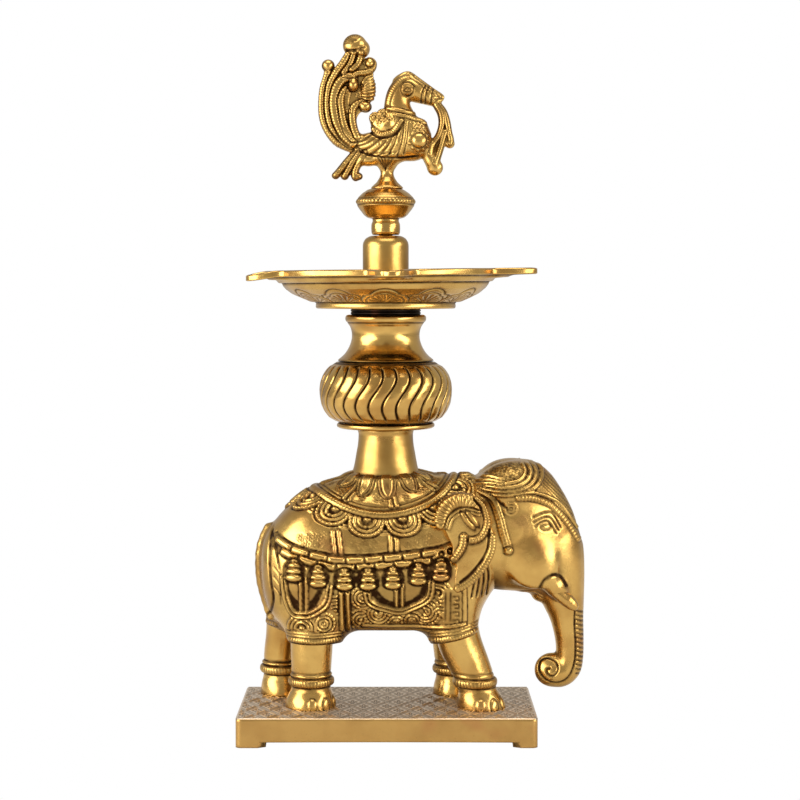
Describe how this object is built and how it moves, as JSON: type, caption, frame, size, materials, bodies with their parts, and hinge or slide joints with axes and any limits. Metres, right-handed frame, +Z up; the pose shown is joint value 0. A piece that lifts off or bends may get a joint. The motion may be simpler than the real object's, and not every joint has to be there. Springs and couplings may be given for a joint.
{
  "type": "standing oil lamp",
  "caption": "Brass standing oil lamp: a caparisoned elephant on a plinth carries a fluted pot, a spouted oil dish and a bird finial that unscrew from one another.",
  "frame": {"origin": "middle of the whole lamp's bounding box, in the plane that the plinth's four corner feet stand on", "axes": "+Z up, +X along the plinth towards the elephant's head, +Y to the elephant's left side"},
  "size_m": [0.1767, 0.1432, 0.3608],
  "materials": {
    "plinth_brass": "satin-polished cast and turned brass, dark brown patina left in the chased grooves",
    "elephant_brass": "satin-polished cast and turned brass, dark brown patina left in the chased grooves",
    "turned_brass": "satin-polished cast and turned brass, dark brown patina left in the chased grooves",
    "dish_brass": "satin-polished cast and turned brass, dark brown patina left in the chased grooves",
    "bird_brass": "satin-polished cast and turned brass, dark brown patina left in the chased grooves",
    "blackened_thread": "blackened brass thread",
    "screw_brass": "satin-polished cast and turned brass, dark brown patina left in the chased grooves"
  },
  "bodies": {
    "base": {"plinth": "plinth_brass", "foot_screws": "screw_brass", "elephant_body": "elephant_brass", "elephant_head": "elephant_brass", "elephant_trunk": "elephant_brass", "leg_near_hind": "elephant_brass", "leg_far_hind": "elephant_brass", "leg_near_fore": "elephant_brass", "leg_far_fore": "elephant_brass", "ear_left": "elephant_brass", "ear_right": "elephant_brass", "tusk_left": "elephant_brass", "tusk_right": "elephant_brass", "back_collar": "turned_brass"},
    "pot_screw": {"pot_stud": "blackened_thread"},
    "pot": {"pot_foot": "turned_brass", "pot_belly": "turned_brass", "pot_neck": "turned_brass"},
    "dish_screw": {"dish_stud": "blackened_thread"},
    "dish": {"oil_dish": "dish_brass", "dish_post": "turned_brass"},
    "finial_screw": {"finial_stud": "blackened_thread"},
    "finial": {"finial_knob": "turned_brass", "finial_bird": "bird_brass"}
  },
  "joints": [
    {"name": "pot_rise", "type": "slide", "parent": "base", "child": "pot_screw", "axis": [0, 0, 1], "range_m": [0, 0.0101]},
    {"name": "pot_turn", "type": "hinge", "parent": "pot_screw", "child": "pot", "pos_m": [-0.0134, 0.0046, 0.157], "axis": [0, 0, 1], "range_deg": [0, 1440]},
    {"name": "dish_rise", "type": "slide", "parent": "pot", "child": "dish_screw", "axis": [0, 0, 1], "range_m": [0, 0.0043]},
    {"name": "dish_turn", "type": "hinge", "parent": "dish_screw", "child": "dish", "pos_m": [-0.0134, 0.0046, 0.2162], "axis": [0, 0, 1], "range_deg": [0, 1080]},
    {"name": "finial_rise", "type": "slide", "parent": "dish", "child": "finial_screw", "axis": [0, 0, 1], "range_m": [0, 0.0101]},
    {"name": "finial_turn", "type": "hinge", "parent": "finial_screw", "child": "finial", "pos_m": [-0.0134, 0.0046, 0.257], "axis": [0, 0, 1], "range_deg": [0, 1800]}
  ],
  "couplings": [
    {"joint": "pot_rise", "follows": "pot_turn", "m_per_rad": 0.00039789},
    {"joint": "dish_rise", "follows": "dish_turn", "m_per_rad": 0.00022282},
    {"joint": "finial_rise", "follows": "finial_turn", "m_per_rad": 0.00031831}
  ]
}
